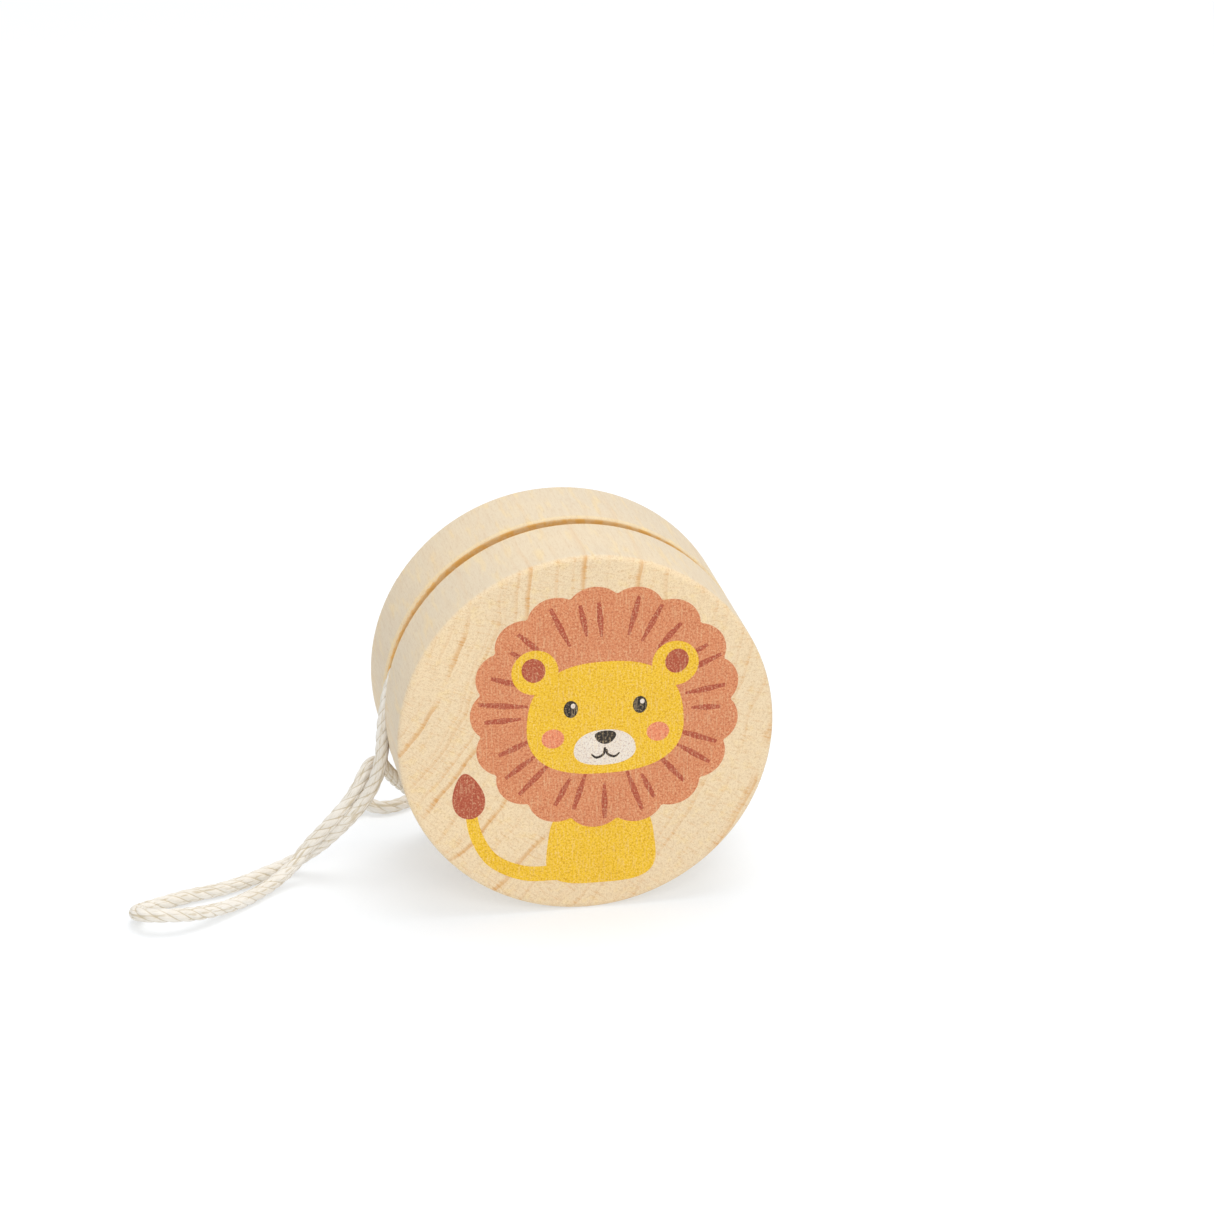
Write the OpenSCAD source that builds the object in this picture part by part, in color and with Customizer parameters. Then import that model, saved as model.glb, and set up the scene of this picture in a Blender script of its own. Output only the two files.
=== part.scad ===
// Wooden finger yo-yo: two turned discs on a glued dowel, with a cotton string wound
// on the dowel, its finger loop laid out on the table.
// Axle along Y, printed face towards -Y, standing on its rim with the origin under its middle.

/* [Discs] */
// Diameter of both wooden discs
disc_d = 50; // [46:1:54]
// Thickness of one disc, along the axle
disc_w = 12.8; // [11:0.1:16]
// Rounding where the rim meets the outer face
face_round = 0.8; // [0.5:0.1:4]
// Rounding where the rim meets the string groove
groove_round = 0.5; // [0.2:0.1:1.5]

/* [Groove and axle] */
// Width of the groove between the discs
groove_w = 2.2; // [2.2:0.1:4]
// Diameter of the dowel
axle_d = 8; // [6:0.5:10]
// Depth of the dowel in each disc
axle_seat = 9; // [6:0.5:10]
// Room left for glue at each end of the dowel
glue_gap = 0.5; // [0.2:0.1:1]

/* [String] */
// Diameter of the cotton cord
cord_d = 1.9; // [1.6:0.1:2]
// Outer diameter of the wound string
winding_d = 38; // [30:1:42]
// Radial clearance of the string's loop on the dowel
loop_clearance = 0.05; // [0.02:0.01:0.1]
// Clearance between the winding and each disc
side_clearance = 0.1; // [0.05:0.05:0.4]
// Diameter of the knot at the string's free end
knot_d = 4.2; // [3:0.1:6]

/* [Hidden] */

$fn = 96;
disc_r = disc_d / 2;
axle_r = axle_d / 2;
axle_length = groove_w + 2 * axle_seat;
axle_chamfer = 0.5;
cord_r = cord_d / 2;
cord_sides = 8;
loop_inner_r = axle_r + loop_clearance;
loop_outer_r = loop_inner_r + cord_d;
winding_r = winding_d / 2;
winding_w = groove_w - 2 * side_clearance;
winding_round = 0.4 * winding_w;

// Route of the string's centreline, from where it leaves the winding to its end knot
route = [
    // out of the winding, through the groove's mouth and down beside the rim
    [-9, 0, 40.6], [-13, 0, 38.3], [-17, 0, 36], [-20.3, 0, 33.9], [-22.7, 0, 31.2],
    [-24.1, 0, 28.1], [-24.8, 0, 24.6], [-25.2, 0, 21.1], [-25.5, 0, 17.6],
    // first leg of the finger loop, down to the table
    [-26.5, 0, 14.3], [-28.3, 0.4, 11.1], [-30.8, 1.4, 7.9], [-33.4, 2.8, 4.8],
    [-36.1, 3.9, 2.5], [-39, 3.9, 1.3], [-41.9, 2.3, 1], [-44.8, 0.3, 1], [-47.8, -1.2, 1],
    [-50.9, -2, 1], [-53.9, -3.1, 1],
    // tip of the loop
    [-56.4, -4.2, 1], [-58.6, -5.8, 1.2], [-59.6, -7.9, 1.8], [-58.3, -10.5, 2.6],
    // second leg, back up beside the first
    [-55.5, -11.3, 2.7], [-52.1, -10.5, 2.2], [-48.6, -8.2, 1.5], [-45.4, -5.6, 1.1],
    [-42.3, -2.7, 1.1], [-39.7, -0.4, 1.6], [-37.4, 1.1, 2.9], [-35.5, 1.7, 5],
    [-33.4, 1.6, 7.2], [-31.5, 1.5, 9.3], [-29.6, 1.7, 11.4], [-28.1, 2.1, 13.6],
    // over the top, behind the first leg and down along the rear disc's rim
    [-27.1, 3, 15.4], [-25.5, 4.2, 15.8], [-24.4, 5.7, 14.1], [-23.1, 7.6, 11.8],
    [-21.4, 10, 9.3], [-19.1, 12.3, 6.7], [-16.3, 14.4, 4.4], [-12.9, 16.1, 2.4],
    // loose turn on the table behind the discs
    [-9.4, 18.2, 1.2], [-7.3, 21.2, 1], [-8.2, 24.9, 1], [-11.8, 26.5, 1], [-15.7, 25.1, 1],
    [-19.1, 22.8, 1], [-21.9, 21.1, 1], [-24.2, 21.3, 1.2], [-25.2, 22.3, 1.6]
];
knot_at = [-26.1, 23.4, knot_d / 2];

// Section of one disc: x is the radius, y runs from the groove to the outer face
module disc_section() {
    square([disc_r - groove_round, disc_w / 2]);
    translate([0, disc_w / 2])
        square([disc_r - face_round, disc_w / 2]);
    translate([0, groove_round])
        square([disc_r, disc_w - groove_round - face_round]);
    translate([disc_r - face_round, disc_w - face_round])
        circle(r = face_round);
    translate([disc_r - groove_round, groove_round])
        circle(r = groove_round);
}

// One disc with its blind hole, built on the XY plane with the groove side down
module disc() {
    rotate_extrude()
        difference() {
            disc_section();
            square([axle_r, axle_seat + glue_gap]);
        }
}

// Puts a shape built along Z on the axle, at a distance along it; side is -1 front, 1 rear
module on_axle(side = 1, along = 0) {
    translate([0, side * along, disc_r])
        rotate([side * -90, 0, 0])
            children();
}

module front_half() {
    color("burlywood")
        on_axle(-1, groove_w / 2) disc();
}

module rear_half() {
    color("burlywood")
        on_axle(1, groove_w / 2) disc();
}

module axle_dowel() {
    half = axle_length / 2;
    color("peru")
        on_axle()
            rotate_extrude()
                polygon([
                    [0, -half], [axle_r - axle_chamfer, -half], [axle_r, axle_chamfer - half],
                    [axle_r, half - axle_chamfer], [axle_r - axle_chamfer, half], [0, half]
                ]);
}

// The string's inmost turn, tied as a loop that slips on the dowel
module axle_loop() {
    color("ivory")
        on_axle()
            rotate_extrude()
                translate([loop_inner_r + cord_r, 0])
                    circle(r = cord_r);
}

// Outer shape of the wound string
module string_winding() {
    straight_w = winding_w - 2 * winding_round;
    color("ivory")
        on_axle()
            rotate_extrude() {
                translate([loop_outer_r, -winding_w / 2])
                    square([winding_r - winding_round - loop_outer_r, winding_w]);
                translate([loop_outer_r, -straight_w / 2])
                    square([winding_r - loop_outer_r, straight_w]);
                for (side = [-1, 1])
                    translate([winding_r - winding_round, side * straight_w / 2])
                        circle(r = winding_round);
            }
}

function unit(v) = v / norm(v);
function heading(p, i) = unit(p[min(i + 1, len(p) - 1)] - p[max(i - 1, 0)]);

// Side direction of ring i, carried along the route without twist
function carried(p, i) =
    i == 0 ? [0, 1, 0]
           : let (side = carried(p, i - 1), ahead = heading(p, i))
             unit(side - (side * ahead) * ahead);

function ring(p, i, r, sides) =
    let (side = carried(p, i), over = cross(heading(p, i), side))
    [for (k = [0 : sides - 1])
        let (turn = 360 * k / sides)
        p[i] + r * (cos(turn) * side + sin(turn) * over)];

// A tube of constant radius along a list of points
module tube(p, r, sides) {
    rings = len(p);
    points = [for (i = [0 : rings - 1]) each ring(p, i, r, sides)];
    walls = [for (i = [0 : rings - 2], k = [0 : sides - 1])
        let (next = (k + 1) % sides)
        each [[i * sides + k, (i + 1) * sides + k, (i + 1) * sides + next],
              [i * sides + k, (i + 1) * sides + next, i * sides + next]]];
    first = [for (k = [0 : sides - 1]) k];
    last = [for (k = [sides - 1 : -1 : 0]) (rings - 1) * sides + k];
    polyhedron(points = points, faces = concat([first], walls, [last]), convexity = 6);
}

module string_tail() {
    color("ivory")
        tube(route, cord_r, cord_sides);
}

module string_end_knot() {
    color("ivory")
        translate(knot_at)
            sphere(d = knot_d);
}

front_half();
rear_half();
axle_dowel();
axle_loop();
string_winding();
string_tail();
string_end_knot();
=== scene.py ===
"""A wooden yo-yo: two turned discs on a dowel, a wound cotton string and a printed animal.

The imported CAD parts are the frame. The discs and the dowel keep their CAD shapes and get a
turned-wood finish. The string, its end knot and the printed picture are made here.
"""

import logging
import math
from dataclasses import dataclass, field
from enum import Enum
from typing import Any, Sequence, Union

import bmesh
import bpy
from mathutils import Matrix, Vector, noise


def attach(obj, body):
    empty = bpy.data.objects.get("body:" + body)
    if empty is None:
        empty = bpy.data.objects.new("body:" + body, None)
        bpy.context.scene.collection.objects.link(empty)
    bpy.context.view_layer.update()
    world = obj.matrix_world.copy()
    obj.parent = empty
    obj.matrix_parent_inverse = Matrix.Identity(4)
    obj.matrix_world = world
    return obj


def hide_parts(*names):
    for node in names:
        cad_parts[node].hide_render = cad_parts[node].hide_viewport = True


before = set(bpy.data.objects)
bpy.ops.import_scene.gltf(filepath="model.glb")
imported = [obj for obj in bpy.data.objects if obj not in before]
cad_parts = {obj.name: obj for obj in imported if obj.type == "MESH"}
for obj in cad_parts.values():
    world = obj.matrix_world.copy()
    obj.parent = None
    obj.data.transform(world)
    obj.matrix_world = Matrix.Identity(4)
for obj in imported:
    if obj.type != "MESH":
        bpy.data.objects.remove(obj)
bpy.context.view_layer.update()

logging.basicConfig(level=logging.INFO, format="%(message)s")
log = logging.getLogger("yo_yo")

MM = 0.001
Number = Union[int, float]
Colour = tuple[float, float, float, float]
WHITE: Colour = (1.0, 1.0, 1.0, 1.0)


def tone(red: int, green: int, blue: int) -> Colour:
    """A colour given as on a paint card, from 0 to 255, in the linear values that shaders use.

    Args:
        red: Red share, 0 to 255.
        green: Green share, 0 to 255.
        blue: Blue share, 0 to 255.

    Returns:
        Linear red, green, blue and an alpha of 1.
    """

    def linear(share: int) -> float:
        """One share in linear light."""
        s = share / 255
        return s / 12.92 if s <= 0.04045 else ((s + 0.055) / 1.055) ** 2.4

    return (linear(red), linear(green), linear(blue), 1.0)


class Signal:
    """One output socket of a shader; arithmetic on it adds Math nodes."""

    def __init__(self, graph: "Graph", socket: bpy.types.NodeSocket) -> None:
        """Wraps a socket of a graph."""
        self.graph = graph
        self.socket = socket

    def _math(self, operation: str, first: Any, second: Any = None) -> "Signal":
        """Adds one Math node on this graph.

        Args:
            operation: The Math node's operation.
            first: Its first value or signal.
            second: Its second value or signal, if the operation takes one.

        Returns:
            The node's result.
        """
        sockets = {0: first} if second is None else {0: first, 1: second}
        return self.graph.add("ShaderNodeMath", {"operation": operation}, sockets)

    def __add__(self, other: Any) -> "Signal":
        """This plus other."""
        return self._math("ADD", self, other)

    def __sub__(self, other: Any) -> "Signal":
        """This less other."""
        return self._math("SUBTRACT", self, other)

    def __mul__(self, other: Any) -> "Signal":
        """This times other."""
        return self._math("MULTIPLY", self, other)

    def __truediv__(self, other: Any) -> "Signal":
        """This over other."""
        return self._math("DIVIDE", self, other)

    def __pow__(self, other: Any) -> "Signal":
        """This to the power of other."""
        return self._math("POWER", self, other)

    def angle_from(self, other: "Signal") -> "Signal":
        """The angle whose tangent is this over other."""
        return self._math("ARCTAN2", self, other)

    def fraction(self) -> "Signal":
        """What is left of this above the whole number below it."""
        return self._math("FRACT", self)

    def whole(self) -> "Signal":
        """The whole number below this."""
        return self._math("FLOOR", self)

    def size(self) -> "Signal":
        """This without its sign."""
        return self._math("ABSOLUTE", self)

    def between(self, low: Number, high: Number) -> "Signal":
        """A smooth step on this value.

        Args:
            low: Where the result is 0.
            high: Where the result is 1; it may be below low.

        Returns:
            A signal from 0 to 1.
        """
        flip = low > high
        ends = {1: high, 2: low, 3: 1.0, 4: 0.0} if flip else {1: low, 2: high, 3: 0.0, 4: 1.0}
        return self.graph.add(
            "ShaderNodeMapRange", {"interpolation_type": "SMOOTHSTEP"}, {0: self, **ends}
        )


class Graph:
    """The node tree of one material, with one method that makes any node."""

    def __init__(self, name: str) -> None:
        """Starts an empty node material.

        Args:
            name: The material's name.
        """
        self.material = bpy.data.materials.new(name)
        self.material.use_nodes = True
        self.tree = self.material.node_tree
        self.tree.nodes.clear()

    def add(
        self,
        kind: str,
        settings: dict[str, Any] | None = None,
        sockets: dict[Any, Any] | None = None,
        output: int | str = 0,
    ) -> Signal:
        """Makes one node.

        Args:
            kind: The node's type.
            settings: Its own settings.
            sockets: Values or signals for its input sockets, by name or number.
            output: The output that is returned.

        Returns:
            That output as a signal.
        """
        node = self.tree.nodes.new(kind)
        for name, value in (settings or {}).items():
            setattr(node, name, value)
        for name, value in (sockets or {}).items():
            if isinstance(value, Signal):
                self.tree.links.new(value.socket, node.inputs[name])
            else:
                node.inputs[name].default_value = value
        return Signal(self, node.outputs[output])

    def blend(self, share: Any, first: Any, second: Any) -> Signal:
        """Mixes two colours.

        Args:
            share: How much of the second colour, 0 to 1.
            first: The first colour or signal.
            second: The second colour or signal.

        Returns:
            The mixed colour.
        """
        return self.add(
            "ShaderNodeMix",
            {"data_type": "RGBA", "blend_type": "MIX", "clamp_factor": True},
            {0: share, 6: first, 7: second},
            2,
        )

    def speckle(
        self, place: Any, scale: Number, detail: Number = 2.0, rough: Number = 0.5
    ) -> Signal:
        """Smooth noise at a place, about 0.5 on average.

        Args:
            place: The vector that the noise reads.
            scale: How many features there are in one unit of place.
            detail: Octaves of finer noise.
            rough: How strong the finer noise is.

        Returns:
            The noise's value.
        """
        return self.add(
            "ShaderNodeTexNoise",
            {"noise_dimensions": "3D"},
            {"Vector": place, "Scale": scale, "Detail": detail, "Roughness": rough},
        )

    def grain(
        self,
        place: Sequence[Signal],
        scales: Sequence[Number],
        detail: Number = 2.0,
        rough: Number = 0.5,
    ) -> Signal:
        """Noise with a scale of its own along each part of a place.

        Args:
            place: The place's three parts.
            scales: How many features there are in one unit of each part.
            detail: Octaves of finer noise.
            rough: How strong the finer noise is.

        Returns:
            The noise's value.
        """
        x, y, z = (part if scale == 1 else part * scale for part, scale in zip(place, scales))
        joined = self.add("ShaderNodeCombineXYZ", None, {0: x, 1: y, 2: z})
        return self.speckle(joined, 1.0, detail, rough)

    def millimetres(self, shift: Sequence[float] = (0.0, 0.0, 0.0)) -> Signal:
        """The object's own coordinates in millimetres.

        Args:
            shift: How far they are moved, in mm.

        Returns:
            The coordinates as one vector.
        """
        solid = self.add("ShaderNodeTexCoord", output="Object")
        return self.add(
            "ShaderNodeMapping",
            {"vector_type": "POINT"},
            {"Vector": solid, "Location": tuple(shift), "Scale": (1000.0, 1000.0, 1000.0)},
        )

    def parts(self, vector: Signal) -> tuple[Signal, Signal, Signal]:
        """Splits a vector.

        Args:
            vector: The vector.

        Returns:
            Its three parts.
        """
        first = self.add("ShaderNodeSeparateXYZ", None, {0: vector})
        outputs = first.socket.node.outputs
        return first, Signal(self, outputs[1]), Signal(self, outputs[2])

    def bump(self, height: Signal, depth: float) -> Signal:
        """The normal of a surface with a relief.

        Args:
            height: The relief, 0 to 1.
            depth: Its depth in metres.

        Returns:
            The bumped normal.
        """
        return self.add(
            "ShaderNodeBump", None, {"Strength": 1.0, "Distance": depth, "Height": height}
        )

    def finish(self, sockets: dict[str, Any]) -> bpy.types.Material:
        """Closes the graph with a shader.

        Args:
            sockets: Values or signals for the shader's sockets.

        Returns:
            The finished material.
        """
        shader = self.add("ShaderNodeBsdfPrincipled", None, sockets)
        end = self.tree.nodes.new("ShaderNodeOutputMaterial")
        self.tree.links.new(shader.socket, end.inputs["Surface"])
        return self.material


@dataclass(frozen=True)
class TurnedWood:
    """Pale close-grained wood, turned with its fibres along the axle; the faces show end grain.

    Depths and gaps are in millimetres. A depth is how far a place is from the middle plane
    between the discs.
    """

    name: str
    pith: tuple[float, float] = (-64.0, 54.0)  # centre of the growth rings, x and z
    ring_gap: float = 3.7  # from one growth ring to the next
    ring_sway: float = 3.4  # how far the rings wander
    line_gap: float = 0.41  # from one hairline to the next, against the rings' gap
    seed: float = 0.0
    face_depth: tuple[float, float] = (13.0, 13.84)  # where end grain starts and is full
    groove_shade_depth: tuple[float, float] = (1.2, 1.12)  # the same for the groove wall's painted warm shade, lightened as painted bounce light
    glow_depth: tuple[float, float] = (2.1, 1.4)  # and for the painted glow on the groove's rounding
    bump: float = 0.03 * MM
    pale: Colour = tone(218, 203, 178)
    tan: Colour = tone(236, 213, 175)
    late: Colour = tone(212, 158, 94)
    pore: Colour = tone(178, 138, 90)
    # Yellow of the rims' random streaks, also used as a painted glow on the groove's rounding.
    gold_and_painted_glow: Colour = tone(240, 212, 150)
    # Painted warm shade of the groove wall, lighter than shaded wood so that it also paints bounce
    # light.
    groove_shade_colour: Colour = tone(222, 170, 88)

    def material(self) -> bpy.types.Material:
        """Builds the node material of this finish.

        Returns:
            The material.
        """
        g = Graph(self.name)
        place = g.millimetres((-self.pith[0], self.seed, -self.pith[1]))
        across, along, up = solid = g.parts(place)
        depth = (along - self.seed).size()
        end_grain = depth.between(*self.face_depth)
        # Masks for the painted shade on the groove wall and the painted glow on its rounding.
        groove_shade_mask = depth.between(*self.groove_shade_depth)
        edge_glow_mask = depth.between(*self.glow_depth)

        # Growth rings: lines round the pith, which fade out in patches and on the rims.
        sway = g.grain(solid, (0.09, 0.03, 0.09))
        radius = (across * across + up * up) ** 0.5 + sway * self.ring_sway
        patch = g.grain(solid, (0.16, 0.05, 0.16), 3.0)
        rings = self._rings(g, radius / self.ring_gap, 0.76, 0.93)
        hairlines = self._rings(g, radius / (self.ring_gap * self.line_gap), 0.5, 0.9)
        line = (rings + hairlines * 0.45) * patch.between(0.3, 0.6) * (end_grain * 0.78 + 0.22)

        # Fibres and pores, drawn out along the axle, and short ticks that point to the pith.
        fibre = g.grain(solid, (3.1, 0.22, 3.1), 3.0, 0.65)
        fine = g.grain(solid, (6.5, 0.8, 6.5), 2.0, 0.6)
        mottle = g.speckle(place, 3.2, 3.0, 0.7)
        ray = g.grain((radius, along, up.angle_from(across)), (0.5, 0.5, 230.0))
        tick = ray.between(0.53, 0.66)
        streak = g.grain(solid, (0.9, 0.16, 0.9))
        cloud = g.grain(solid, (0.055, 0.055, 0.055), 3.0)

        # Colour, from the broad changes to the fine ones.
        wood = g.blend(cloud.between(0.3, 0.7) * 0.3 + end_grain * 0.7, self.pale, self.tan)
        # Yellow streaks at random, and a painted glow on the groove's rounding.
        wood = g.blend(streak.between(0.5, 0.75) * 0.35 + edge_glow_mask * 0.3, wood, self.gold_and_painted_glow)
        wood = g.blend(line * 0.6, wood, self.late)
        wood = g.blend(tick * (line * 0.8 + 0.2) * (end_grain * 0.85 + 0.15), wood, self.late)
        rough = end_grain * 0.55 + 0.45
        for pores, ends, strength in (
            (fibre, (0.46, 0.74), 0.28),
            (mottle, (0.45, 0.8), 0.36),
            (fine, (0.45, 0.8), 0.5),
        ):
            wood = g.blend(pores.between(*ends) * rough * strength, wood, self.pore)
        # Painted shade on the groove wall in irregular dashes; its lightness is painted bounce
        # light.
        wood = g.blend(groove_shade_mask * (streak.between(0.35, 0.6) * 0.45 + 0.5), wood, self.groove_shade_colour)
        relief = fibre * 0.5 + fine * 0.3 + mottle * 0.2
        return g.finish(
            {
                "Base Color": wood,
                "Roughness": fibre * 0.14 + 0.56,
                "Specular IOR Level": 0.35,
                "Normal": g.bump(relief, self.bump),
            }
        )

    def _rings(self, g: Graph, year: Signal, start: float, full: float) -> Signal:
        """Thin dark lines where one year's growth ends, some stronger than others.

        Args:
            g: The finish's graph.
            year: The growth year, which rises by 1 from one line to the next.
            start: Where in the year the wood starts to darken.
            full: Where in the year it is darkest.

        Returns:
            The lines' strength.
        """
        part = year.fraction()
        which = year.whole() + self.seed
        weight = g.add("ShaderNodeTexWhiteNoise", {"noise_dimensions": "1D"}, {"W": which})
        return part.between(start, full) * part.between(1.0, full + 0.03) * weight.between(0.1, 0.9)


@dataclass(frozen=True)
class CottonCord:
    """Unbleached cotton in soft strands, whose yarns run roughly along the cord."""

    name: str = "cotton_string"
    bump: float = 0.22 * MM
    # The cotton's own colour; a duller tone for random patches that also serves as painted shade;
    # and painted shade for hollows and creases.
    crest: Colour = tone(238, 233, 224)
    shade: Colour = tone(222, 213, 198)
    valley_shade: Colour = tone(196, 180, 148)

    def material(self) -> bpy.types.Material:
        """Builds the node material of this finish.

        Returns:
            The material.
        """
        g = Graph(self.name)
        place = g.add("ShaderNodeAttribute", {"attribute_name": "laid"}, output="Vector")
        crease = g.add("ShaderNodeAttribute", {"attribute_name": "crease"}, output="Fac")
        laid = g.parts(place)
        yarn = g.grain(laid, (0.22, 3.4, 3.4))
        hair = g.grain(laid, (0.8, 8.0, 8.0))
        cloud = g.grain(laid, (0.12, 0.4, 0.4))
        # Random dull patches, and painted shade where the yarns' relief is low.
        dull_and_yarn_shade = cloud.between(0.35, 0.65) * 0.4 + yarn.between(0.52, 0.32) * 0.6
        cotton = g.blend(dull_and_yarn_shade, self.crest, self.shade)
        cotton = g.blend(hair.between(0.5, 0.72) * 0.45, cotton, self.shade)
        # Painted shade in the hollows between the yarns.
        cotton = g.blend(yarn.between(0.47, 0.32) * 0.6, cotton, self.valley_shade)
        # Painted shade in the creases between the strands, in patches.
        deep = crease.between(0.6, 1.0) * cloud.between(0.2, 0.6) * 0.8
        cotton = g.blend(deep, cotton, self.valley_shade)
        return g.finish(
            {
                "Base Color": cotton,
                "Roughness": hair * 0.12 + 0.85,
                "Specular IOR Level": 0.2,
                "Sheen Weight": 0.25,
                "Sheen Roughness": 0.5,
                "Normal": g.bump(yarn * 0.7 + hair * 0.3, self.bump),
            }
        )


class Ink(Enum):
    """The colours of the print."""

    RUST = tone(214, 136, 92)
    BARK = tone(178, 84, 56)
    SUN = tone(238, 193, 34)
    CREAM = tone(232, 224, 210)
    ROSE = tone(232, 140, 100)
    SOOT = tone(34, 28, 24)


@dataclass(frozen=True)
class PrintedInk:
    """A thin layer of ink with a fine grain, through which the wood shows a little."""

    ink: Ink
    bare: Colour = tone(236, 206, 160)
    shade: tuple[float, float, float] = (0.66, 0.52, 0.5)  # a thick dot's colour against the ink's
    bump: float = 0.01 * MM

    def material(self) -> bpy.types.Material:
        """Builds the node material of this ink.

        Returns:
            The material.
        """
        g = Graph("printed_ink_" + self.ink.name.lower())
        place = g.millimetres()
        solid = g.parts(place)
        grit = g.grain(solid, (3.6, 1, 3.6), 2.0, 0.7)
        dots = g.grain(solid, (7.0, 1, 7.0), 1.0)
        thread = g.grain(solid, (4.6, 1, 0.4))
        cloud = g.speckle(place, 0.22)
        deep = (*(part * less for part, less in zip(self.ink.value, self.shade)), 1.0)
        colour = g.blend(grit.between(0.52, 0.32) * 0.85, self.ink.value, deep)
        colour = g.blend(grit.between(0.5, 0.72) * 0.48, colour, self.bare)
        colour = g.blend(dots.between(0.5, 0.32) * 0.5, colour, deep)
        colour = g.blend(thread.between(0.52, 0.72) * 0.25, colour, self.bare)
        colour = g.blend(cloud.between(0.35, 0.7) * 0.1, colour, deep)
        return g.finish(
            {
                "Base Color": colour,
                "Roughness": grit * 0.12 + 0.52,
                "Specular IOR Level": 0.35,
                "Normal": g.bump(grit * 0.6 + thread * 0.4, self.bump),
            }
        )


@dataclass
class CordRoute:
    """The middle line of the string: wound on the dowel, then laid out beside the discs."""

    turns: float = 6.5
    wound_steps: int = 900
    first_radius: float = 5.0 * MM
    last_radius: float = 18.0 * MM
    first_angle: float = math.radians(300)
    axle_height: float = 25.0 * MM
    sway: float = 0.05 * MM  # how far the wound turns wander sideways
    sway_start: float = 0.8  # radians into the sway's wave
    calm: float = 1.5  # radians over which the sway dies out before the cord leaves
    span_steps: int = 12  # points from one laid place to the next
    step: float = 0.25 * MM
    passes: int = 30  # rounds of easing
    laid: tuple[tuple[float, float, float], ...] = (  # places in metres, after the winding
        (-0.0090, 0, 0.0406), (-0.0130, 0, 0.0383), (-0.0170, 0, 0.0360), (-0.0203, 0, 0.0339),
        (-0.0227, 0, 0.0312), (-0.0241, 0, 0.0281), (-0.0248, 0, 0.0246), (-0.0252, 0, 0.0211),
        (-0.0255, 0, 0.0176), (-0.0265, 0, 0.0143), (-0.0283, 0.0004, 0.0111),
        (-0.0308, 0.0014, 0.0079), (-0.0334, 0.0028, 0.0048), (-0.0361, 0.0039, 0.0025),
        (-0.0390, 0.0039, 0.0013), (-0.0419, 0.0023, 0.0010), (-0.0448, 0.0003, 0.0010),
        (-0.0478, -0.0012, 0.0010), (-0.0509, -0.0020, 0.0010), (-0.0539, -0.0031, 0.0010),
        (-0.0564, -0.0042, 0.0010), (-0.0586, -0.0058, 0.0012), (-0.0596, -0.0079, 0.0018),
        (-0.0583, -0.0105, 0.0026), (-0.0555, -0.0113, 0.0027), (-0.0521, -0.0105, 0.0022),
        (-0.0486, -0.0082, 0.0015), (-0.0454, -0.0056, 0.0011), (-0.0423, -0.0027, 0.0011),
        (-0.0397, -0.0004, 0.0016), (-0.0374, 0.0011, 0.0029), (-0.0355, 0.0017, 0.0050),
        (-0.0334, 0.0016, 0.0072), (-0.0315, 0.0015, 0.0093), (-0.0296, 0.0017, 0.0114),
        (-0.0281, 0.0021, 0.0136), (-0.0271, 0.0030, 0.0154), (-0.0255, 0.0042, 0.0158),
        (-0.0244, 0.0057, 0.0141), (-0.0231, 0.0076, 0.0118), (-0.0214, 0.0100, 0.0093),
        (-0.0191, 0.0123, 0.0067), (-0.0163, 0.0144, 0.0044), (-0.0129, 0.0161, 0.0024),
        (-0.0094, 0.0182, 0.0012), (-0.0073, 0.0212, 0.0010), (-0.0082, 0.0249, 0.0010),
        (-0.0118, 0.0265, 0.0010), (-0.0157, 0.0251, 0.0010), (-0.0191, 0.0228, 0.0010),
        (-0.0219, 0.0211, 0.0010), (-0.0242, 0.0213, 0.0012), (-0.0252, 0.0223, 0.0016),
    )

    def wound(self) -> list[Vector]:
        """The spiral of the wound string, each turn on top of the last.

        Returns:
            Its points, from the dowel outwards.
        """
        whole = self.turns * math.tau
        points = []
        for i in range(self.wound_steps + 1):
            share = i / self.wound_steps
            turned = whole * share
            radius = self.first_radius + (self.last_radius - self.first_radius) * share
            fade = min(1.0, (whole - turned) / self.calm)
            angle = self.first_angle + turned
            x = radius * math.cos(angle)
            y = self.sway * math.sin(turned / 2 + self.sway_start) * fade
            points.append(Vector((x, y, self.axle_height + radius * math.sin(angle))))
        return points

    def loose(self) -> list[Vector]:
        """The laid-out part, as a centripetal Catmull-Rom curve through its places.

        Returns:
            The curve's points, from the winding to the free end.
        """
        given = [Vector(p) for p in self.laid]
        knots = [2 * given[0] - given[1], *given, 2 * given[-1] - given[-2]]
        points = []
        for p0, p1, p2, p3 in zip(knots, knots[1:], knots[2:], knots[3:]):
            t1 = (p1 - p0).length ** 0.5
            t2 = t1 + (p2 - p1).length ** 0.5
            t3 = t2 + (p3 - p2).length ** 0.5
            for i in range(self.span_steps):
                t = t1 + (t2 - t1) * i / self.span_steps
                a1 = p0.lerp(p1, t / t1)
                a2 = p1.lerp(p2, (t - t1) / (t2 - t1))
                a3 = p2.lerp(p3, (t - t2) / (t3 - t2))
                b1 = a1.lerp(a2, t / t2)
                b2 = a2.lerp(a3, (t - t1) / (t3 - t1))
                points.append(b1.lerp(b2, (t - t1) / (t2 - t1)))
        return points + [given[-1]]

    def line(self) -> list[Vector]:
        """The whole middle line, evenly spaced and eased.

        Returns:
            Points about one step apart, from the dowel to the end knot.
        """
        return self.eased(self.spaced(self.wound() + self.loose()[1:]))

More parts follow.
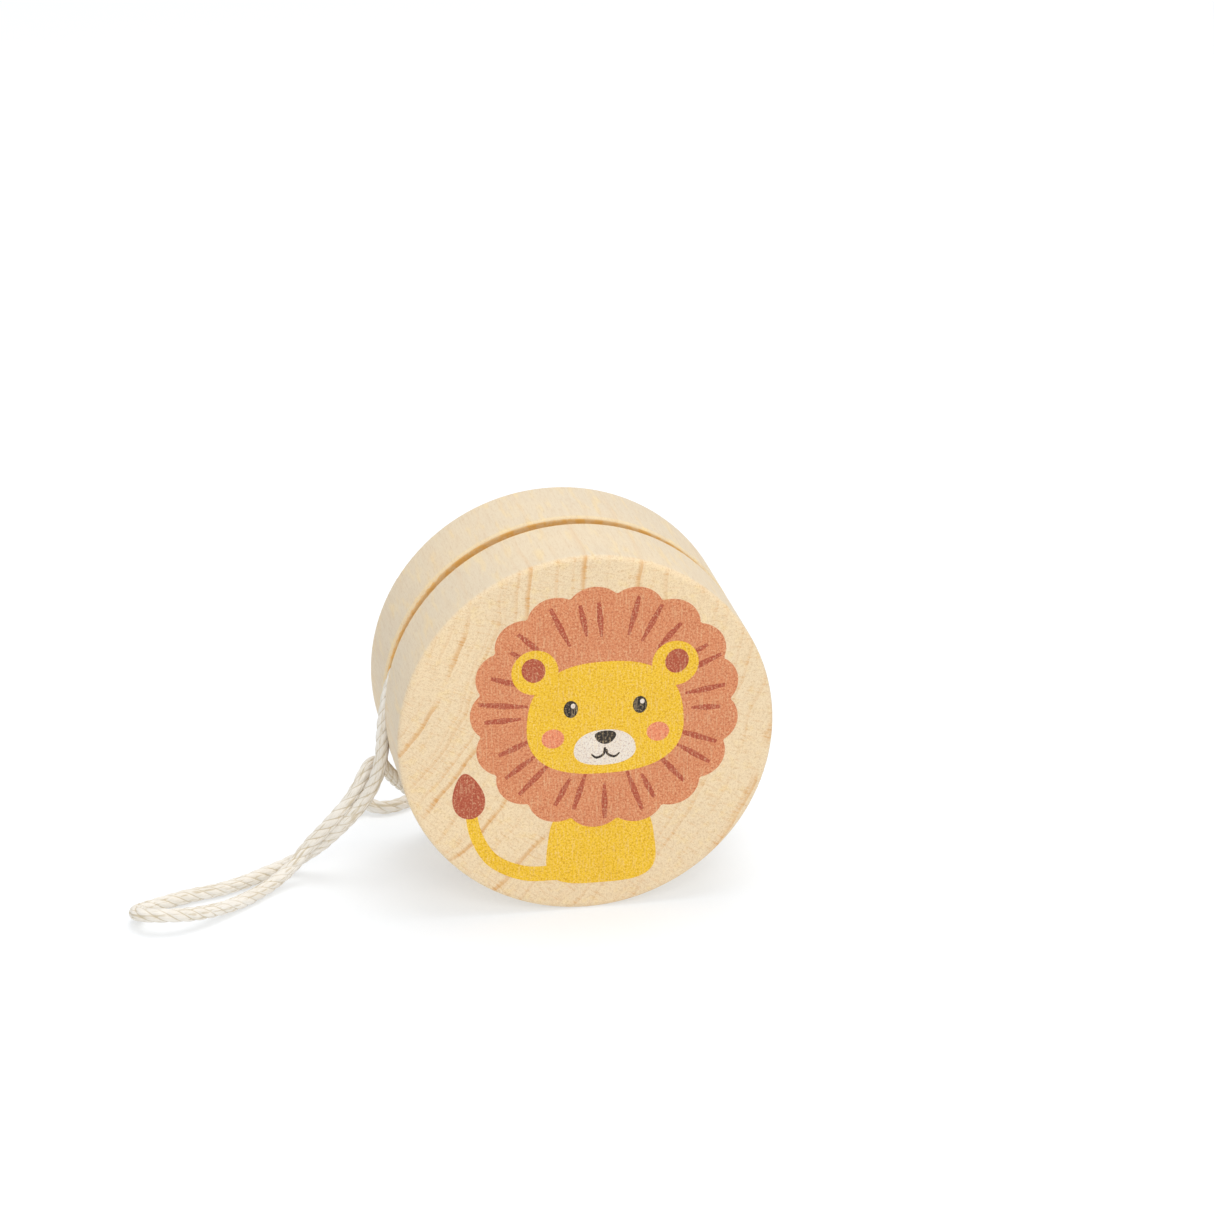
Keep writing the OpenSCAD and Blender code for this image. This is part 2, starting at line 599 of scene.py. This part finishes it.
    def spaced(self, points: Sequence[Vector]) -> list[Vector]:
        """The same line with its points one step apart.

        Args:
            points: The line's points.

        Returns:
            The evenly spaced points.
        """
        lengths = [0.0]
        for a, b in zip(points, points[1:]):
            lengths.append(lengths[-1] + (b - a).length)
        count = round(lengths[-1] / self.step)
        result, at = [], 0
        for i in range(count + 1):
            goal = lengths[-1] * i / count
            while at < len(points) - 2 and lengths[at + 1] < goal:
                at += 1
            share = (goal - lengths[at]) / max(lengths[at + 1] - lengths[at], 1e-12)
            result.append(points[at].lerp(points[at + 1], share))
        return result

    def eased(self, points: Sequence[Vector]) -> list[Vector]:
        """The line with its small kinks taken out; both ends stay where they are.

        Args:
            points: The line's points.

        Returns:
            As many points, each moved towards its neighbours' middle.
        """
        line = [p.copy() for p in points]
        for _ in range(self.passes):
            line = [
                line[0],
                *[a * 0.25 + b * 0.5 + c * 0.25 for a, b, c in zip(line, line[1:], line[2:])],
                line[-1],
            ]
        return line


@dataclass
class LaidCord:
    """Sweeps a cord of soft strands, pressed together, along a line."""

    diameter: float = 1.9 * MM
    strands: int = 4
    lay: float = 7.4 * MM
    relief: float = 0.16 * MM  # how deep the creases between the strands are
    breadth: float = 0.8  # below 1 the strands are broad and the creases narrow
    sides: int = 32
    uneven: float = 0.05  # how much its thickness varies, as a share
    uneven_scale: float = 0.26  # how often, per mm

    def reach(self, angle: float) -> float:
        """How far the cord's skin is from its middle, at an angle from a strand's crest."""
        crest = abs(math.cos(self.strands * angle / 2))
        return self.diameter / 2 - self.relief * (1 - crest**self.breadth)

    def frames(self, line: Sequence[Vector]) -> list[tuple[Vector, Vector]]:
        """Directions across the line that turn no more than the line does.

        Args:
            line: The middle line's points.

        Returns:
            For each point two directions across the line, square to each other.
        """
        ways = [(b - a).normalized() for a, b in zip(line, line[1:])]
        along = [ways[0], *[(a + b).normalized() for a, b in zip(ways, ways[1:])], ways[-1]]
        side = along[0].orthogonal().normalized()
        made = []
        for way in along:
            side = (side - way * side.dot(way)).normalized()
            made.append((side, way.cross(side)))
        return made

    def sweep(self, bm: bmesh.types.BMesh, line: Sequence[Vector], size: float = 1.0) -> None:
        """Adds the cord to a mesh, with the attributes that its finish reads.

        Args:
            bm: The mesh that the cord is added to.
            line: The middle line's points, in metres.
            size: How thick the cord is against its usual thickness.
        """
        laid = bm.verts.layers.float_vector.new("laid")
        crease = bm.verts.layers.float.new("crease")
        last = len(line) - 1
        sheet = bmesh.ops.create_grid(bm, x_segments=self.sides, y_segments=last, size=1.0)["verts"]
        low, high = self.reach(math.pi / self.strands), self.reach(0.0)
        skin = [self.reach(math.tau * k / self.sides) for k in range(self.sides)]
        runs = [0.0]
        for a, b in zip(line, line[1:]):
            runs.append(runs[-1] + (b - a).length)
        frames = self.frames(line)
        for vert in sheet:
            k = round((vert.co.x + 1) / 2 * self.sides) % self.sides
            i = round((vert.co.y + 1) / 2 * last)
            run, (side, front) = runs[i], frames[i]
            turned = math.tau * (k / self.sides + run / self.lay)
            flat = (math.cos(turned) * skin[k], math.sin(turned) * skin[k])
            patch = noise.noise(Vector((run / MM * self.uneven_scale, 3.1, 0)))
            fullness = size * (1 + self.uneven * patch)
            vert.co = line[i] + (side * flat[0] + front * flat[1]) * fullness
            vert[laid] = Vector((run, flat[0], flat[1])) / MM
            vert[crease] = 1 - (skin[k] - low) / (high - low)
        bmesh.ops.remove_doubles(bm, verts=sheet, dist=1e-8)
        bmesh.ops.holes_fill(bm, edges=[e for e in bm.edges if e.is_boundary], sides=0)


def piece_from(
    bm: bmesh.types.BMesh, name: str, material: bpy.types.Material, smooth: bool = True
) -> bpy.types.Object:
    """Turns a mesh into a piece of the object.

    Args:
        bm: The mesh, which is freed.
        name: The piece's name.
        material: Its finish.
        smooth: Whether its faces are shaded smooth.

    Returns:
        The new object, at the origin.
    """
    bmesh.ops.recalc_face_normals(bm, faces=bm.faces)
    for face in bm.faces:
        face.smooth = smooth
    mesh = bpy.data.meshes.new(name)
    bm.to_mesh(mesh)
    bm.free()
    mesh.materials.append(material)
    piece = bpy.data.objects.new(name, mesh)
    bpy.context.scene.collection.objects.link(piece)
    return piece


@dataclass
class CottonString:
    """The string: one long cord and the overhand knot at its free end."""

    route: CordRoute = field(default_factory=CordRoute)
    cord: LaidCord = field(default_factory=LaidCord)
    finish: CottonCord = CottonCord()
    knot_size: float = 0.78  # thickness of the pulled-tight cord in the knot, as a share
    knot_sweep: float = 158.0  # degrees of the knot's curve on each side of its middle
    knot_steps: int = 120
    knot_width: float = 0.62 * MM  # scale of the curve across the cord
    knot_length: float = 0.5 * MM  # scale of the curve along the cord
    knot_ahead: float = 1.1 * MM  # from the line's end to the knot's middle
    knot_back: float = 0.15 * MM  # how far the curve is set back along the cord
    knot_lift: float = 0.5 * MM  # how far the knot's middle is above the line's end
    way_steps: int = 12  # how many steps of the line give its last direction
    end_steps: int = 8
    end_length: float = 1.6 * MM  # of the cord beyond the knot
    end_aside: float = 0.2 / 0.9  # how far that end points aside, against along the cord
    hairs: int = 26
    hair_length: float = 1.5 * MM
    hair_root: float = 0.11 * MM  # radius at the cord's end
    hair_tip: float = 0.03 * MM  # radius at the hair's own end
    hair_lean: float = 0.5  # how far the outmost hairs lean out
    hair_spread: float = 1.1 * MM  # how far apart the roots are, for a lean of 1
    hair_out: float = 0.55 * MM  # from the cord's end to a hair's middle
    hair_crease: float = 0.2  # how much a hair is shaded like a crease
    hair_spin: float = 2.39996  # radians from one hair to the next, the golden angle

    def build(self) -> None:
        material = self.finish.material()
        line = self.route.line()
        string = self._string(line, material)
        knot = self._knot(line, material)
        for piece in (string, knot):
            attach(piece, "string")
        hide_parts("axle_loop", "string_winding", "string_tail")
        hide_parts("string_end_knot")
        length = sum((b - a).length for a, b in zip(line, line[1:]))
        log.info("string: %.0f mm of cord in %d rings", length / MM, len(line))

    def _string(self, line: Sequence[Vector], material: bpy.types.Material) -> bpy.types.Object:
        """The wound and laid-out cord.

        Args:
            line: The string's middle line.
            material: The cord's finish.

        Returns:
            The string's piece.
        """
        bm = bmesh.new()
        self.cord.sweep(bm, line)
        return piece_from(bm, "string", material)

    def _knot(self, line: Sequence[Vector], material: bpy.types.Material) -> bpy.types.Object:
        """The overhand knot with its cut end teased into a small tuft.

        Args:
            line: The string's middle line, at whose end the knot sits.
            material: The cord's finish.

        Returns:
            The knot's piece.
        """
        way = (line[-1] - line[-1 - self.way_steps]).normalized()
        side = way.cross(Vector((0, 0, 1))).normalized()
        up = side.cross(way)
        centre = line[-1] + way * self.knot_ahead + Vector((0, 0, self.knot_lift))
        bend = []
        for i in range(self.knot_steps + 1):
            t = math.radians(-self.knot_sweep + 2 * self.knot_sweep * i / self.knot_steps)
            a = math.sin(t) + 2 * math.sin(2 * t)
            b = math.cos(t) - 2 * math.cos(2 * t)
            c = -math.sin(3 * t)
            lengthwise = way * (b * self.knot_length - self.knot_back)
            bend.append(centre + (side * a + up * c) * self.knot_width + lengthwise)
        tip = bend[-1] + (way + side * self.end_aside).normalized() * self.end_length
        steps = range(1, self.end_steps + 1)
        bend += [bend[-1].lerp(tip, i / self.end_steps) for i in steps]
        bm = bmesh.new()
        self.cord.sweep(bm, bend, self.knot_size)
        self._tuft(bm, bend[-1], way)
        return piece_from(bm, "string_knot", material)

    def _tuft(self, bm: bmesh.types.BMesh, root: Vector, way: Vector) -> None:
        """Adds the short loose fibres of the cut end, which fan out round one direction.

        Args:
            bm: The knot's mesh.
            root: Where the cord ends.
            way: The direction in which it ends.
        """
        laid, crease = bm.verts.layers.float_vector["laid"], bm.verts.layers.float["crease"]
        first = way.orthogonal().normalized()
        for i in range(self.hairs):
            spin = i * self.hair_spin
            lean = self.hair_lean * math.sqrt((i + 0.5) / self.hairs)
            aside = Matrix.Rotation(spin, 3, way) @ first
            heading = (way + aside * lean).normalized()
            made = bmesh.ops.create_cone(
                bm,
                cap_ends=True,
                segments=5,
                radius1=self.hair_root,
                radius2=self.hair_tip,
                depth=self.hair_length,
            )["verts"]
            turn = heading.to_track_quat("Z", "Y").to_matrix().to_4x4()
            start = root + aside * lean * self.hair_spread
            onto = Matrix.Translation(start + heading * self.hair_out) @ turn
            bmesh.ops.transform(bm, matrix=onto, verts=made)
            for vert in made:
                vert[laid] = Vector((i * 3.0, spin, (vert.co - root).length / MM))
                vert[crease] = self.hair_crease


@dataclass
class InkFilm:
    """One thin closed layer of ink, drawn in millimetres on the face: x to the right and z up."""

    name: str
    ink: Ink
    level: float  # mm from the face to the layer's top; a higher layer covers a lower one
    sunk: float = 0.01 * MM  # how far the layer reaches into the wood
    face_y: float = -13.9 * MM
    span_steps: int = 8  # points from one place of a stroke to the next
    lobe_breadth: float = 0.7  # below 1 the scallops are broad and the notches narrow
    bm: bmesh.types.BMesh = field(default_factory=bmesh.new)

    def blob(
        self,
        centre: tuple[float, float],
        size: tuple[float, float],
        turn: float = 0.0,
        square: float = 2.0,
        taper: float = 0.0,
        lobes: int = 0,
        lobe_depth: float = 0.0,
        sides: int = 64,
    ) -> "InkFilm":
        """Adds a rounded shape.

        Args:
            centre: Its middle, x and z in mm.
            size: Its half width and half height in mm.
            turn: How far it is turned, in degrees anticlockwise.
            square: 2 for an ellipse, more for fuller corners.
            taper: How much wider the top is than the middle.
            lobes: How many scallops its edge has.
            lobe_depth: How deep they are, as a share of its size.
            sides: Points round its edge.

        Returns:
            This film.
        """
        made = bmesh.ops.create_circle(self.bm, cap_ends=True, segments=sides, radius=1.0)["verts"]
        tilt = Matrix.Rotation(math.radians(turn), 2)
        for vert in made:
            angle = math.atan2(vert.co.y, vert.co.x)
            full = (abs(vert.co.x) ** square + abs(vert.co.y) ** square) ** (-1 / square)
            if lobes:
                lobe = abs(math.sin(lobes * angle / 2)) ** self.lobe_breadth
                full *= 1 - lobe_depth * (1 - lobe)
            flat = Vector((vert.co.x * full * size[0], vert.co.y * full * size[1]))
            flat.x *= 1 + taper * flat.y / size[1]
            flat = tilt @ flat
            vert.co = Vector((flat.x + centre[0], flat.y + centre[1], 0)) * MM
        return self

    def stroke(self, points: Sequence[tuple[float, float]], widths: Sequence[float]) -> "InkFilm":
        """Adds a brush stroke along a smooth line.

        Args:
            points: Places that the stroke passes, x and z in mm.
            widths: Its width in mm at each place.

        Returns:
            This film.
        """
        line = [Vector((x, z, 0)) * MM for x, z in points]
        knots = [2 * line[0] - line[1], *line, 2 * line[-1] - line[-2]]
        spots, wide = [], []
        for i, (a, b, c, d) in enumerate(zip(knots, knots[1:], knots[2:], knots[3:])):
            square, cube = 2 * a - 5 * b + 4 * c - d, 3 * b - a - 3 * c + d
            for k in range(self.span_steps + (i == len(line) - 2)):
                t = k / self.span_steps
                spots.append((2 * b + (c - a) * t + square * t**2 + cube * t**3) * 0.5)
                wide.append((widths[i] * (1 - t) + widths[i + 1] * t) * MM / 2)
        edge = None
        for i, (spot, half) in enumerate(zip(spots, wide)):
            way = (spots[min(i + 1, len(spots) - 1)] - spots[max(i - 1, 0)]).normalized()
            out = Vector((-way.y, way.x, 0)) * half
            if edge is None:
                left, right = self.bm.verts.new(spot + out), self.bm.verts.new(spot - out)
                edge = self.bm.edges.new((left, right))
                continue
            made = bmesh.ops.extrude_edge_only(self.bm, edges=[edge])["geom"]
            edges = [e for e in made if isinstance(e, bmesh.types.BMEdge)]
            edge = next(e for e in edges if left not in e.verts)
            corners = list(edge.verts)
            if (corners[0].co - left.co).length > (corners[0].co - right.co).length:
                corners.reverse()
            left, right = corners
            left.co, right.co = spot + out, spot - out
        return self

    def lay(self) -> None:
        """Gives the film its thickness, lays it on the face and makes its piece."""
        flat = list(self.bm.faces)
        bmesh.ops.recalc_face_normals(self.bm, faces=flat)
        made = bmesh.ops.extrude_face_region(self.bm, geom=flat)["geom"]
        lifted = [v for v in made if isinstance(v, bmesh.types.BMVert)]
        for vert in self.bm.verts:
            vert.co.z = -self.sunk
        for vert in lifted:
            vert.co.z = self.level * MM
        onto = Matrix.Translation((0, self.face_y, 0)) @ Matrix.Rotation(math.radians(90), 4, "X")
        bmesh.ops.transform(self.bm, matrix=onto, verts=self.bm.verts)
        material = PrintedInk(self.ink).material()
        piece = piece_from(self.bm, "print_" + self.name, material, smooth=False)
        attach(piece, "discs")


@dataclass
class LionPrint:
    """A plain lion in flat colours, printed on the front face; all sizes are in millimetres."""

    middle: tuple[float, float] = (2.4, 28.8)
    mane_size: tuple[float, float] = (17.9, 17.0)
    strokes: int = 26

    def build(self) -> None:
        """Prints the lion, from the lowest layer of ink to the highest."""
        lower = (self._tail(), self._tuft(), self._body(), self._mane(), self._mane_strokes())
        films = [*lower, *self._ears(), *self._face(), self._features(), self._glints()]
        for film in films:
            film.lay()
        log.info("print: %d ink films", len(films))

    def _tail(self) -> InkFilm:
        """The tail, which curls up on the left."""
        spots = [(-4.0, 5.6), (-8.5, 5.9), (-12.6, 8.0), (-14.8, 11.6), (-15.6, 15.4)]
        return InkFilm("tail", Ink.SUN, 0.010).stroke(spots, [2.2, 2.1, 1.9, 1.7, 1.5])

    def _tuft(self) -> InkFilm:
        """The tuft at the tail's end."""
        film = InkFilm("tail_tuft", Ink.BARK, 0.016)
        return film.blob((-15.9, 17.6), (2.1, 3.3), turn=8, square=1.9, taper=-0.28)

    def _body(self) -> InkFilm:
        """The seated body under the mane."""
        film, middle = InkFilm("body", Ink.SUN, 0.012), (self.middle[0] - 0.6, 9.6)
        return film.blob(middle, (7.2, 5.9), square=3.4, taper=-0.1, sides=96)

    def _mane(self) -> InkFilm:
        """The scalloped mane.

        Returns:
            Its film.
        """
        film = InkFilm("mane", Ink.RUST, 0.018)
        shape = {"square": 2.15, "lobes": 17, "lobe_depth": 0.075, "sides": 306}
        return film.blob(self.middle, self.mane_size, **shape)

    def _mane_strokes(self) -> InkFilm:
        """Dark brush strokes that fan out round the face, no two quite alike.

        Returns:
            Their film.
        """
        film = InkFilm("mane_strokes", Ink.BARK, 0.024)
        (x, z), (wide, high) = self.middle, self.mane_size
        for i in range(self.strokes):
            angle = math.tau * (i + 0.5) / self.strokes + 0.05 * math.sin(i * 2.3)
            out = 0.90 + 0.04 * math.sin(i * 1.7)
            start = 0.60 + 0.05 * math.sin(i * 3.1)
            lean = 0.05 * math.sin(i * 1.3 + 1)
            spots = []
            for share in (start, (start + out) / 2, out):
                a = angle + lean * (share - start)
                spots.append((x + wide * share * math.cos(a), z + high * share * math.sin(a)))
            film.stroke(spots, [0.35, 0.85, 0.5])
        return film

    def _ears(self) -> tuple[InkFilm, InkFilm]:
        """The round ears and their darker insides.

        Returns:
            The two films.
        """
        x, z = self.middle
        ears = InkFilm("ears", Ink.SUN, 0.030)
        inner = InkFilm("inner_ears", Ink.BARK, 0.036)
        for side in (-1, 1):
            ears.blob((x + side * 9.3, z + 5.6), (3.1, 3.1))
            inner.blob((x + side * 9.5, z + 5.9), (1.55, 1.7), turn=side * -20)
        return ears, inner

    def _face(self) -> tuple[InkFilm, InkFilm, InkFilm]:
        """The face with its muzzle and cheeks.

        Returns:
            The three films.
        """
        x, z = self.middle
        face = InkFilm("face", Ink.SUN, 0.042)
        face.blob((x, z - 1.4), (10.4, 7.9), square=2.5, taper=-0.06, sides=96)
        muzzle = InkFilm("muzzle", Ink.CREAM, 0.048)
        muzzle.blob((x - 0.1, z - 5.6), (4.1, 2.5), square=2.3, taper=-0.1)
        cheeks = InkFilm("cheeks", Ink.ROSE, 0.048)
        cheeks.blob((x - 7.0, z - 3.9), (1.5, 1.35)).blob((x + 7.0, z - 3.9), (1.5, 1.35))
        return face, muzzle, cheeks

    def _features(self) -> InkFilm:
        """The eyes, the nose and a smile in two strokes.

        Returns:
            Their film.
        """
        x, z = self.middle
        dark = InkFilm("eyes_and_nose", Ink.SOOT, 0.054)
        dark.blob((x - 4.6, z + 0.1), (0.95, 1.2)).blob((x + 4.6, z + 0.1), (0.95, 1.2))
        dark.blob((x, z - 4.2), (1.35, 0.95), square=2.2, taper=0.3)
        corner = [(-1.9, -6.5), (-1.2, -7.0), (-0.3, -6.6), (-0.05, -5.6)]
        dark.stroke([(x + a, z + b) for a, b in corner], [0.2, 0.34, 0.34, 0.3])
        corner = [(1.9, -6.5), (1.2, -7.0), (0.3, -6.6), (0.12, -5.9)]
        return dark.stroke([(x + a, z + b) for a, b in corner], [0.2, 0.34, 0.34, 0.26])

    def _glints(self) -> InkFilm:
        """The small glints in the eyes.

        Returns:
            Their film.
        """
        x, z = self.middle
        film = InkFilm("glints", Ink.CREAM, 0.060)
        film.blob((x - 4.3, z + 0.55), (0.3, 0.34), sides=24)
        return film.blob((x + 4.9, z + 0.55), (0.3, 0.34), sides=24)


@dataclass
class TurnedBody:
    """The two discs and the dowel, which keep their CAD shapes."""

    front: TurnedWood = TurnedWood("turned_wood")
    rear: TurnedWood = TurnedWood("turned_wood_rear", pith=(-58.0, 72.0), seed=40.0)
    dowel: TurnedWood = TurnedWood("dowel_wood", pith=(-9.0, 31.0), ring_gap=1.9, seed=90.0)

    def dress(self) -> None:
        """Gives each CAD part of the body its finish."""
        finishes = {"front_half": self.front, "rear_half": self.rear, "axle_dowel": self.dowel}
        for node, finish in finishes.items():
            material = finish.material()
            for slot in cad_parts[node].material_slots:
                slot.material = material
            log.info("%s: %s", node, finish.name)


@dataclass(frozen=True)
class Softbox:
    """A square area light: its place and size in metres and its power in watts."""

    name: str
    place: tuple[float, float, float]
    size: float
    power: float


@dataclass
class Studio:
    """The camera, the pale floor and the soft lights; places and sizes in metres."""

    lens: float = 111.896  # mm
    sensor: float = 36.0  # mm across
    near: float = 0.01  # the nearest that the camera shows
    eye: tuple[float, float, float] = (-0.0819630, -0.4604070, 0.2197210)
    down: float = 21.2643  # degrees below level
    aside: float = 10.7252  # degrees towards +x
    air: float = 0.70  # strength of the light from all round
    aim: tuple[float, float, float] = (0.0, 0.0, 0.02)  # where the lights point
    top: Softbox = Softbox("top", (0.14, 0.10, 1.12), 0.8, 5.8)
    front: Softbox = Softbox("front", (0.0, -1.0, 0.75), 0.6, 4.2)
    floor_reach: float = 4.0
    floor_grey: Colour = (0.53, 0.55, 0.57, 1.0)
    floor_glow: float = 0.43  # strength of the floor's own white light

    def camera(self) -> None:
        """Sets up the camera."""
        data = bpy.data.cameras.new("camera")
        data.lens, data.sensor_width = self.lens, self.sensor
        data.clip_start = self.near
        camera = bpy.data.objects.new("camera", data)
        camera.location = self.eye
        camera.rotation_euler = (math.radians(90 - self.down), 0.0, math.radians(-self.aside))
        bpy.context.scene.collection.objects.link(camera)
        bpy.context.scene.camera = camera

    def light(self) -> None:
        """Places the lights and sets the air round the object."""
        scene = bpy.context.scene
        scene.view_settings.view_transform = "Standard"
        scene.view_settings.look = "None"
        world = bpy.data.worlds.new("air")
        world.use_nodes = True
        background = world.node_tree.nodes["Background"]
        background.inputs["Color"].default_value = WHITE
        background.inputs["Strength"].default_value = self.air
        scene.world = world
        self._hang(self.top)
        self._hang(self.front)

    def _hang(self, box: Softbox) -> None:
        """Hangs a softbox that faces the object.

        Args:
            box: The softbox.
        """
        data = bpy.data.lights.new(box.name, "AREA")
        data.shape, data.size, data.energy = "SQUARE", box.size, box.power
        lamp = bpy.data.objects.new(box.name, data)
        lamp.location = box.place
        way = Vector(self.aim) - Vector(box.place)
        lamp.rotation_euler = way.to_track_quat("-Z", "Y").to_euler()
        bpy.context.scene.collection.objects.link(lamp)

    def floor(self) -> None:
        """Lays the floor, which isn't part of the object."""
        bm = bmesh.new()
        bmesh.ops.create_grid(bm, x_segments=1, y_segments=1, size=self.floor_reach)
        material = Graph("floor").finish(
            {
                "Base Color": self.floor_grey,
                "Roughness": 0.9,
                "Specular IOR Level": 0.1,
                "Emission Color": WHITE,
                "Emission Strength": self.floor_glow,
            }
        )
        piece_from(bm, "floor", material)


def main() -> None:
    """Builds the scene: camera and string first, then the wood, the print and the studio."""
    studio = Studio()
    studio.camera()
    CottonString().build()
    TurnedBody().dress()
    LionPrint().build()
    studio.floor()
    studio.light()
    bpy.context.view_layer.update()


if __name__ == "__main__":
    main()
